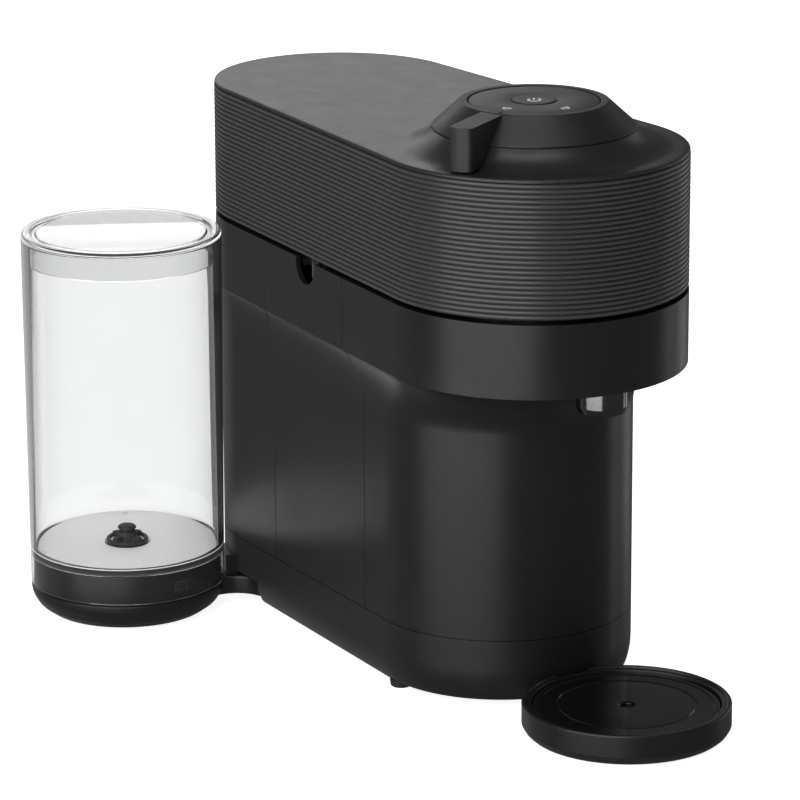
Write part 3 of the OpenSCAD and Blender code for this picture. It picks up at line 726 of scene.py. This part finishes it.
def cover_rings():
    """The cover's rings: up its edge, in over the top, down its middle and out along the underside."""
    edge = 1.0
    low = SLEEVE_TOP + 0.3
    foot, bottom = SLEEVE_TOP - 5, 239.4
    rings = [full_ring(1, 2.6, foot), full_ring(1, 2.6, low), full_ring(1, 0.45, low),
             full_ring(1, 0.25, low + 0.2)]
    for k in range(6):
        turn = pi / 2 * k / 5
        rings.append(full_ring(1, 0.25 + edge * (1 - cos(turn)), RIM_Z - edge + edge * sin(turn)))
    rings.append(full_ring(1, 3.2, RIM_Z))
    shape = rings[-1]
    rings.append(circle_like(shape, BLEND_R + 2, RIM_Z))
    last = asin((BLEND_R - KNOB_R) / BLEND_ARC)
    for k in range(13):
        turn = last * k / 12
        r = BLEND_R - BLEND_ARC * sin(turn)
        rings.append(circle_like(shape, r, RIM_Z + BLEND_ARC * (1 - cos(turn))))
    shelf, tube, lip = KNOB_FOOT - 0.6, 260.4, 243.5
    middle_part = [(43.7, KNOB_FOOT - 0.02), (43.3, KNOB_FOOT - 0.25), (42.9, shelf), (29.0, shelf),
                   (28.2, KNOB_FOOT - 0.4), (28.2, tube - 0.2), (28.0, tube), (25.2, tube),
                   (25.0, tube - 0.2), (25.0, 247), (3.5, 247), (3.5, lip), (42, lip), (42, 237), (46, 237),
                   (48, bottom)]
    rings += [circle_like(shape, r, z) for r, z in middle_part]
    return rings + [full_ring(1, 5, bottom), full_ring(1, 5, foot)]


def head_cover():
    """The head's top, with three curved slots that let the lock ring's legs through."""
    inner_r, outer_r, sweep = 35, 39, 98
    top = loft("head_cover", cover_rings(), closed=True)
    for start in (-4, 116, 236):
        first, last = radians(start), radians(start + sweep)
        outline = arc((0, 0), outer_r, first, last, 24) + arc((0, 0), inner_r, last, first, 24)
        combine(top, prism("cutter", outline, 230, 256))
    return settle(top, "head", "top", "top_cover")


def cover_posts():
    """Screw posts between the cover and the head's plate."""
    profile = [(1.52, 187.45, 0.2), (4, 187.45, 0.4), (4, 239.5), (1.52, 239.5)]
    parts = [revolve("cover_posts", profile, place, segments=32) for place in COVER_POSTS]
    return settle(join(*parts), "head", "inner")


def frame_tongue():
    """The catch that hangs from the head into the finger notch and narrows downwards."""
    low, height, thickness = 173.2, 10.5, 1.9
    rows = []
    for k in range(9):
        t = k / 8
        z = low + height * t
        narrow = (1 - t) ** 2
        front, back = 82.6 + 1.6 * narrow, 87.9 - 2.2 * narrow
        skin = 59.0 - 0.9 * narrow
        inner = skin - thickness
        ring = rounded([(skin, front, 0.8), (skin, back, 0.8), (inner, back, 0.3), (inner, front, 0.3)])
        rows.append([(-x, y, z) for x, y in ring])
    piece = loft("frame_tongue", rows)
    return settle(piece, "head", "inner", material="knob")


def sign_disc():
    low, high = span_z("knob_disc")
    under = high - 1.6
    profile = [(9.7, high, 0.25), (9.7, under), (22, under), (22, low), (24.6, low), (24.6, under),
               (28, under), (28, high, 0.3)]
    piece = revolve("sign_disc", profile, segments=128)
    return settle(piece, "head", "disc", "knob_disc")


def start_button():
    low, high = span_z("brew_button")
    stem, cap, collar = 3, 9.4, 11
    profile = [(0, high - 0.35), (5, high - 0.28), (8.2, high - 0.05), (cap, high - 0.1, 0.25),
               (cap, 260.45), (collar, 260.4), (collar, 259.4), (stem, 259.4), (stem, low), (0, low)]
    piece = revolve("start_button", profile, closed=False)
    return settle(piece, "button", "disc", "brew_button")


def stroke(path, width, low, high):
    """A flat printed line along a path of plan points."""
    left, right = [], []
    for i, p in enumerate(path):
        before, after = Vector(path[max(i - 1, 0)]), Vector(path[min(i + 1, len(path) - 1)])
        along = (after - before).normalized()
        across = Vector((-along.y, along.x)) * width / 2
        left.append(Vector(p) + across)
        right.append(Vector(p) - across)
    return prism("stroke", [tuple(v) for v in left + right[::-1]], low, high)


def lock_sign(name, angle, radius, opened):
    """A padlock outline, shut or open, read from the front."""
    top = span_z("knob_disc")[1]
    turn = radians(angle)
    cx, cy = radius * cos(turn), radius * sin(turn)
    body = [(cx - 1.5, cy - 1.4), (cx + 1.5, cy - 1.4), (cx + 1.5, cy + 0.8), (cx - 1.5, cy + 0.8)]
    edge = [tuple(p) for p in rounded([(x, y, 0.35) for x, y in body])]
    shift = 1.5 if opened else 0.0
    shackle = arc((cx + shift, cy + 1.0), 0.85, 0, pi, 16)
    shackle = [(shackle[0][0], cy + 0.8)] + shackle + [(shackle[-1][0], cy + (1.0 if opened else 0.8))]
    low, high = top - 0.02, top + 0.03
    piece = join(stroke(edge + edge[:2], 0.6, low, high), stroke(shackle, 0.55, low, high))
    piece.name = name
    return settle(piece, "head", "disc", material="print")


def power_sign():
    """A generic power sign on the button."""
    top = span_z("brew_button")[1] - 0.3
    up, gap = radians(62), radians(38)
    c, s = cos(up), sin(up)
    circle = arc((0, 0), 2.7, up + gap, up - gap + TURN, 40)
    bar = [(0.9 * c, 0.9 * s), (3.4 * c, 3.4 * s)]
    piece = join(*[stroke(path, 0.7, top - 0.1, top + 0.1) for path in (circle, bar)])
    piece.name = "power_sign"
    return settle(piece, "button", "disc", material="print")


def knob_ring():
    """The lock ring: a cone with a flat lip inside."""
    r = KNOB_R - 0.15
    profile = [(KNOB_LIP_R, KNOB_FOOT + 2.0), (38.7, KNOB_FOOT + 2.0), (38.7, KNOB_FOOT + 0.1, 0.2),
               (r, KNOB_FOOT + 0.05, 0.35), (r, KNOB_FOOT + 0.9, 0.5),
               (32.0, KNOB_TOP, 0.9), (KNOB_LIP_R, KNOB_TOP, 0.45)]
    return revolve("lock_knob", profile, segments=144)


def blend_height(r):
    """Height of the cover's top at a radius outside the lock ring."""
    if r >= BLEND_R:
        return RIM_Z
    turn = asin(min((BLEND_R - r) / BLEND_ARC, 0.8))
    return RIM_Z + BLEND_ARC * (1 - cos(turn))


def lever_rows():
    """Half widths along the lever, with a rounded nose."""
    inner, nose, corner, steps = KNOB_LIP_R + 0.7, LEVER_OUT - LEVER_BULGE, LEVER_CORNER, 26
    rows = [(inner + (nose - corner - inner) * k / steps, LEVER_HALF) for k in range(steps)]
    for k in range(6):
        turn = pi / 2 * k / 5
        rows.append((nose - corner * (1 - sin(turn)), LEVER_HALF - corner * (1 - cos(turn))))
    return rows


def lever_floor(x, y):
    """Height of the lever's underside, which clears the cover."""
    r = hypot(x, y)
    return blend_height(r) + 0.8 if r > KNOB_R + 0.8 else KNOB_FOOT + 1.2


def lever_fin():
    """The lever: straight sides beside the axis and a softly curved nose."""
    levels, across = 8, 6
    rows = lever_rows()
    last = len(rows) - 1
    c, s = cos(LEVER_ANGLE), sin(LEVER_ANGLE)
    verts, faces, index = [], [], {}

    def add(row, m, k):
        key = (row, m, k)
        if key in index:
            return index[key]
        x, reach = rows[row]
        y = reach * (1 - 2 * m / across)
        if row == last:
            x += LEVER_BULGE * (1 - (y / (LEVER_HALF - LEVER_CORNER)) ** 2)
        y += LEVER_BESIDE
        low = lever_floor(x, y)
        index[key] = len(verts)
        verts.append((x * c - y * s, x * s + y * c, low + (KNOB_TOP - 0.25 - low) * k / levels))
        return index[key]

    for level in (0, levels):
        for i in range(last):
            for m in range(across):
                plan = ((i, m), (i + 1, m), (i + 1, m + 1), (i, m + 1))
                faces.append([add(*p, level) for p in plan])
    rim = [(i, 0) for i in range(last + 1)] + [(last, m) for m in range(1, across + 1)]
    rim += [(i, across) for i in reversed(range(last))] + [(0, m) for m in reversed(range(across))]
    for k in range(levels):
        for a, b in zip(rim, rim[1:]):
            faces.append([add(*a, k), add(*b, k), add(*b, k + 1), add(*a, k + 1)])
    return make("lever", verts, faces)


def lock_knob():
    piece = knob_ring()
    combine(piece, lever_fin(), "UNION")
    soften(piece, 0.5, 3, 42)
    return settle(piece, "knob", "knob", "lock_lever")


def notch_shade_strip():
    """A short dark strip on the ring's flat lip, where the lever begins: painted shade for a small notch."""
    turn = LEVER_ANGLE - radians(3.5)
    c, s = cos(turn), sin(turn)
    piece = stroke([(28.6 * c, 28.6 * s), (32.3 * c, 32.3 * s)], 1.2, KNOB_TOP - 0.6, KNOB_TOP + 0.03)
    piece.name = "notch_shade_strip"
    # Painted shade: the dark rubber strip stands in for the shade inside a small notch.
    return settle(piece, "knob", "knob", material="rubber")


# ---- Tank, dock and arm ----

def see_through(piece):
    """Leaves a clear piece out of shadows and reflections."""
    piece.visible_glossy = False
    piece.visible_shadow = False


def tank_body():
    """The tank: a tapered tube with a floor above its skirt, which opens in the middle for the valve."""
    low, high = span_z("water_tank")
    top_r = half_width("water_tank")
    foot_r = top_r - TANK_TAPER
    hole, boss, under = 8.1, 10.4, 27.9
    profile = [(foot_r - 2, low, 0.5), (foot_r, low, 0.5), (top_r, high, 0.6), (top_r - 2, high, 0.6),
               (foot_r - 1.9, TANK_FLOOR_Z, 2.5), (boss, TANK_FLOOR_Z, 0.3), (boss, TANK_FLOOR_Z + 0.6, 0.2),
               (hole, TANK_FLOOR_Z + 0.6, 0.2), (hole, under, 0.3), (foot_r - 2, under, 0.8)]
    piece = revolve("tank_body", profile, TANK, 5, segments=144, sharp=50)
    see_through(piece)
    return settle(piece, "tank", "clear", "water_tank")


def tank_cover():
    """The lid: concentric steps on top and a skirt that plugs the tank."""
    low, high = span_z("tank_lid")
    r = half_width("tank_lid")
    skirt, rim = r - 2.4, r - 0.05
    profile = [(0, high - 0.7), (r - 7.2, high - 0.7, 0.4), (r - 6.4, high - 1.5, 0.4),
               (r - 5.0, high - 1.5, 0.4), (r - 4.2, high - 0.1, 0.5), (r - 0.9, high - 0.1, 0.8),
               (rim, high - 1.6, 0.6), (rim, high - 2.35, 0.2), (skirt, high - 2.35, 0.2),
               (skirt, low, 0.4), (skirt - 1.5, low, 0.4), (skirt - 1.5, high - 2.6, 0.6),
               (r - 8, high - 2.1, 0.5), (0, high - 2.1)]
    piece = revolve("tank_cover", profile, TANK, 5, closed=False, segments=144, sharp=50)
    see_through(piece)
    return settle(piece, "lid", "clear", "tank_lid")


def tank_floor():
    """A white sheet on the tank's floor, and the valve's windows: painted light that stands in for
    brightness seen through the clear tank.
    """
    r, hole = half_width("water_tank") - 4.0, 10.5
    low, high = TANK_FLOOR_Z - 0.05, TANK_FLOOR_Z + 0.2
    profile = [(hole, low), (r, low), (r, high, 0.1), (hole, high, 0.1)]
    piece = revolve("tank_floor", profile, TANK, segments=144)
    windows = revolve("windows", [(3.1, 30.92), (7.7, 30.92), (7.7, 31.1), (3.1, 31.1)], TANK)
    return settle(join(piece, windows), "tank", "clear", material="painted_light_frost")


def soft_prism(name, outline, low, high, edge, steps=3):
    """A prism with a rounded top edge."""
    centre = sum((Vector(p) for p in outline), Vector((0, 0))) / len(outline)
    rings = [[(x, y, low) for x, y in outline]]
    for k in range(steps + 1):
        turn = pi / 2 * k / steps
        back, z = edge * (1 - cos(turn)), high - edge + edge * sin(turn)
        inwards = [Vector(p) + (centre - Vector(p)).normalized() * back for p in outline]
        rings.append([(*p, z) for p in inwards])
    return loft(name, rings)


def valve_cross():
    """The tank's valve: a flanged ring with four openings and a domed hub."""
    low, inner, hub_r, stem_r, flange = 30.9, 3.1, 4.6, 7.9, VALVE_R - 1.8
    edge = [(flange, low, 0.2), (VALVE_R, low, 0.2), (VALVE_R, 32.3, 0.4), (flange, 32.3, 0.4)]
    dome = [(inner, low + 0.05), (hub_r, low + 0.05), (hub_r - 0.2, 35.2, 1.2), (inner, 35.6, 0.3)]
    tube = [(inner, 25.4, 0.3), (stem_r, 25.4, 0.5), (stem_r, low), (inner, low)]
    rim = revolve("valve_cross", edge, TANK)
    arms = []
    for turn in (18, 108):
        plan = rounded([(-8.4, -1.5, 0.6), (8.4, -1.5, 0.6), (8.4, 1.5, 0.6), (-8.4, 1.5, 0.6)])
        arms.append(soft_prism("valve_arm", turned(plan, radians(turn), TANK), low + 0.05, 33.6, 0.5))
    hub = revolve("valve_hub", dome, TANK)
    stem = revolve("valve_stem", tube, TANK)
    return settle(join(rim, *arms, hub, stem), "tank", "inner", "tank_valve")


def valve_pin():
    """The valve's plunger, with a domed cap."""
    low, high = span_z("valve_plunger")
    profile = [(0, high), (3.6, high - 0.5, 1.0), (4.9, high - 1.8, 0.4), (3.0, high - 1.8),
               (3.0, low, 0.4), (0, low)]
    piece = revolve("valve_pin", profile, TANK, 5, closed=False, segments=64)
    return settle(piece, "plunger", "white_plastic", "valve_plunger", material="inner")


def dock_collar():
    """The ring inside the tank's skirt, with a roof."""
    low, high = span_z("dock_ring")
    r, hole = half_width("dock_ring"), 12.5
    top, under = high - 0.1, high - 2.2
    profile = [(r - 3, low), (r, low, 0.2), (r, top, 0.8), (hole, top, 0.6), (hole, low),
               (hole + 2, low), (hole + 2, under, 0.4), (r - 3, under, 0.4)]
    piece = revolve("dock_collar", profile, TANK, 5, segments=128)
    return settle(piece, "arm", "inner", "dock_ring", material="top")


def dock_catch():
    """A small framed window on the collar."""
    turn, middle_z = radians(277), 20.2
    r = half_width("dock_ring") + 0.02

    def wall(outline, depth):
        """An outline bent round the collar, at a depth under its surface."""
        return [(*turned([(r - depth, 0)], turn + u / r, TANK)[0], middle_z + v) for u, v in outline]

    outer = rounded([(-3.4, -2.4, 0.6), (3.4, -2.4, 0.6), (3.4, 2.4, 0.6), (-3.4, 2.4, 0.6)])
    inner = [(u * 0.78, v * 0.68) for u, v in outer]
    rings = [wall(outer, 0.3), wall(outer, -0.35), wall(inner, -0.35), wall(inner, 0.3)]
    return settle(loft("dock_catch", rings, closed=True), "arm", "inner")


def neck_plan():
    """The arm's neck along x, with fillets where it meets the dock."""
    fillet = 14.0
    curve = arc((59, NECK_HALF + fillet), fillet, pi + radians(24), pi + radians(114), 14)
    edge = [(40, curve[0][1])] + curve + [(76, NECK_HALF)]
    return edge + [(x, -y) for x, y in reversed(edge)]


def dock_arm():
    """The dock's round foot, the neck and the disc that turns under the body."""
    high = span_z("dock_nozzle")[0]
    foot = [(0, 1.0), (36.5, 1.0, 2.0), (41.5, 4.6, 7.0), (DOCK_R - 0.1, 9.5, 8.0),
            (DOCK_R, high - 0.3, 0.4), (41.5, high - 0.3, 0.3), (41.4, high), (0, high)]
    dock = revolve("dock_arm", foot, TANK, 6, closed=False, segments=144)
    outline = turned(neck_plan(), ARM_LEAN, BACK)
    combine(dock, soft_plate("neck", outline, 4.6, high - 0.35, 1.2), "UNION")
    plate = [(8.05, 4.4, 0.3), (DISC_R, 4.4, 1.5), (DISC_R, high, 0.5), (8.05, high, 0.3)]
    disc = revolve("disc", plate, BACK, segments=144)
    combine(disc, cylinder_cutter(BACK, 14.4, 0, 5))
    combine(dock, disc, "UNION")
    soften(dock, 0.3)
    return settle(dock, "arm", "shell", "tank_arm")


def soft_plate(name, outline, low, high, edge):
    """A plate with all its sharp edges rounded."""
    piece = prism(name, outline, low, high)
    bevel = piece.modifiers.new("edge", "BEVEL")
    bevel.width = edge * MM
    bevel.segments = 3
    bevel.limit_method = "ANGLE"
    bevel.angle_limit = radians(60)
    apply_modifiers(piece)
    tidy(piece)
    return piece


def arm_block():
    """The raised block where the arm comes out of the body."""
    low, high = span_z("arm_cover")
    below, above = low - 1, high + 1
    plan = rounded([(53, -12.2), (63, -12.2, 2.5), (63, 12.2, 2.5), (53, 12.2)])
    piece = prism("arm_block", turned(plan, ARM_LEAN, BACK), low, high)
    combine(piece, cylinder_cutter(BACK, TAIL_R + 0.7, below, above, 144))
    combine(piece, outline_cutter(0.7, below, above))
    combine(piece, cylinder_cutter(TANK, DOCK_R + 0.9, below, above, 144))
    soften(piece, 0.6, 3)
    return settle(piece, "arm", "shell", "arm_cover")


# ---- Cup support ----

def from_front(node):
    """Radius of a round CAD node whose back may be cut off, and its centre."""
    r = half_width(node)
    return r, (0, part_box(node)[0].y / MM - ORIGIN.y + r)


def cup_stand():
    """The round platform, with a raised rim and the tongue that goes into the base."""
    low, high = span_z("cup_support")
    r, centre = from_front("cup_support")
    floor, ledge = high - 3.6, high - 0.9
    profile = [(0, low), (r - 3.2, low, 0.8), (r - 1.4, low + 1.5, 0.8), (r - 0.6, 3.4, 0.4),
               (r, 4.4, 0.8), (r, high, 0.8), (r - 2.0, high, 0.4), (r - 2.3, ledge, 0.2),
               (r - 4.2, ledge, 0.3), (r - 4.6, floor, 0.3), (0, floor)]
    piece = revolve("cup_stand", profile, centre, 5, closed=False, segments=144)
    combine(piece, outline_cutter(0.4, BELOW, ABOVE))
    soften(piece, 0.25)
    tongue = soft_plate("tongue", [(-14, -34), (14, -34), (14, 2), (-14, 2)], 7, 10.6, 0.6)
    return settle(join(piece, tongue), "support", "gloss", "cup_support", material="shell")


def stand_plate():
    """The drip plate: a raised rim, a fine ring and a drain in the middle."""
    low, high = span_z("drip_plate")
    r, centre = from_front("drip_plate")
    top, groove, drain = high - 0.3, high - 0.55, 3.0
    profile = [(drain, low, 0.2), (r, low, 0.3), (r, high, 0.5), (r - 2.6, high, 0.4),
               (r - 3.0, top, 0.2), (30.4, top, 0.1), (30.0, groove, 0.1), (29.4, groove, 0.1),
               (29.0, top, 0.1), (drain + 1, top, 0.5), (drain, high - 0.8, 0.2)]
    piece = revolve("stand_plate", profile, centre, segments=144)
    combine(piece, outline_cutter(0.8, BELOW, ABOVE))
    return settle(piece, "plate", "gloss", "drip_plate")


# ---- Carried-over CAD nodes ----

def paint_cad():
    """Every CAD node that still shows gets the material of its slot."""
    slots = {s["node"]: s["material_slot"] for s in frame["record"]["subparts"]}
    for name, node in frame["nodes"].items():
        if node.hide_render:
            continue
        node.data.materials.clear()
        node.data.materials.append(MATERIALS[slots[name]])


# ---- Stage ----

VIEW = radians(32.288)     # how far left of straight ahead the camera stands
PITCH = radians(15.386)    # how far it looks down
CAMERA_PLACE = (-1022.28, -1558.71, 668.68)
CAMERA_ZOOM = 5.59495
CAMERA_SHIFT = (-0.07511, -0.07359)


def stage():
    """A pale floor that curves up into a backdrop. It glows, and glossy surfaces don't mirror it."""
    near, flat, bend, rise, reach = -3.0, 1.4, 1.2, 3.0, 4.0
    turns = [radians(6 * k) for k in range(16)]
    profile = [(near, 0.0)] + [(flat + bend * sin(t), bend * (1 - cos(t))) for t in turns]
    profile.append((flat + bend, rise))
    away, side = bearing(180), bearing(90)
    verts, faces = [], []
    for distance, height in profile:
        for s in (-reach, reach):
            verts.append(away * distance + side * s + Vector((0, 0, height)))
    for i in range(len(profile) - 1):
        faces.append([2 * i, 2 * i + 1, 2 * i + 3, 2 * i + 2])
    mesh = bpy.data.meshes.new("floor")
    mesh.from_pydata(verts, [], faces)
    mesh.shade_smooth()
    floor = add_object("floor", mesh)
    material, tree, shader = nodes_of("pale floor")
    cloud = add_noise(tree, 3, 2, 0.5)
    tint = add_tint(tree, cloud, (0.80, 0.80, 0.80), (0.82, 0.82, 0.82))
    tree.links.new(tint, shader.inputs["Base Color"])
    shader.inputs["Roughness"].default_value = 0.7
    shader.inputs["Emission Color"].default_value = (1, 1, 1, 1)
    shader.inputs["Emission Strength"].default_value = 0.88
    floor.data.materials.append(material)
    floor.visible_glossy = False
    floor.visible_shadow = False


def bearing(degrees):
    """A level direction, by its angle from the camera's side towards the picture's left."""
    turn = VIEW + radians(degrees)
    return Vector((-sin(turn), -cos(turn), 0))


def group(name, pieces, state):
    """A collection for light linking, whose pieces a lamp includes or excludes."""
    linked = bpy.data.collections.new(name)
    for piece in pieces:
        linked.objects.link(piece)
    for entry in linked.collection_objects:
        entry.light_linking.link_state = state
    return linked


def softbox(name, degrees, distance, height, size, power):
    """A rectangular softbox that faces the object. Lengths are in metres."""
    light = bpy.data.lights.new(name, "AREA")
    light.shape = "RECTANGLE"
    light.size, light.size_y = size
    light.energy = power
    lamp = add_object(name, light)
    lamp.location = bearing(degrees) * distance + Vector((0, 0, height))
    aim = lamp.location - Vector((0, 0, 0.15))
    lamp.rotation_euler = aim.to_track_quat("Z", "Y").to_euler()
    lamp.visible_camera = False
    return lamp.light_linking


def lights(glass, plate, dock):
    """A dim room with softboxes. The front ones leave out the tank, and the dock doesn't block the left."""
    world = bpy.data.worlds.new("studio")
    bpy.context.scene.world = world
    world.use_nodes = True
    tree = world.node_tree
    path = tree.nodes.new("ShaderNodeLightPath")
    strength = add_range(tree, path.outputs["Is Transmission Ray"], 0.08, 0.75, 0.0, 1.0)
    tree.nodes["Background"].inputs["Color"].default_value = (1, 1, 1, 1)
    tree.links.new(strength, tree.nodes["Background"].inputs["Strength"])
    no_glass = group("no glass", glass, "EXCLUDE")
    no_plate = group("no plate", [plate], "EXCLUDE")
    no_dock = group("no dock", dock, "EXCLUDE")
    softbox("overhead", 10, 0.3, 1.7, (1.3, 0.55), 4.6)
    softbox("front high", 33, 1.1, 1.1, (1.6, 0.6), 9.0).receiver_collection = no_glass
    softbox("front left", 33, 1.2, 0.27, (1.85, 1.26), 11.4).receiver_collection = no_glass
    softbox("left", 118, 1.2, -0.45, (1.3, 1.9), 0.7).blocker_collection = no_dock
    softbox("left back", 154, 1.3, -0.3, (0.9, 1.2), 0.5).blocker_collection = no_dock
    softbox("low back", 161, 1.5, 0.66, (1.3, 0.34), 2.15).receiver_collection = no_plate
    softbox("right", 246, 1.3, 0.2, (0.25, 1.2), 0.6)
    softbox("right back", 222, 1.4, 0.2, (0.45, 1.2), 0.9)
    only_glass = group("glass", glass, "INCLUDE")
    softbox("tank edge", 180, 1.4, 0.3, (4.0, 1.8), 16).receiver_collection = only_glass


def camera():
    """The calibrated view. Its lens is given as its focal length over a 36 mm wide frame."""
    lens = bpy.data.cameras.new("camera")
    lens.sensor_width = 36.0
    lens.lens = 36.0 * CAMERA_ZOOM
    lens.shift_x, lens.shift_y = CAMERA_SHIFT
    lens.clip_end = 50
    viewer = add_object("camera", lens)
    level = cos(PITCH)
    back = Vector((-sin(VIEW) * level, -cos(VIEW) * level, sin(PITCH)))
    right = Vector((cos(VIEW), -sin(VIEW), 0))
    turn = Matrix((right, back.cross(right), back)).transposed()
    viewer.matrix_world = Matrix.Translation(point(*CAMERA_PLACE)) @ turn.to_4x4()
    bpy.context.scene.camera = viewer


camera()
stage()

front_shell()
rear_shell()
side_shell()
bin_shell()
base_shell()
pivot_hub()
slot_ceiling()
rubber_feet()
coffee_spout()

ribbed_skin()
head_cover()
cover_posts()
frame_tongue()
sign_disc()
start_button()
lock_sign("sign_shut", 201.4, 20.1, False)
lock_sign("sign_open", 276.5, 20.3, True)
power_sign()
lock_knob()
notch_shade_strip()

glass = [tank_body(), tank_cover()]
dock = [tank_floor(), dock_collar(), dock_catch(), dock_arm(), arm_block()]
valve_cross()
valve_pin()

cup_stand()
plate = stand_plate()
lights(glass, plate, dock)

paint_cad()

bpy.context.scene.view_settings.view_transform = "Standard"
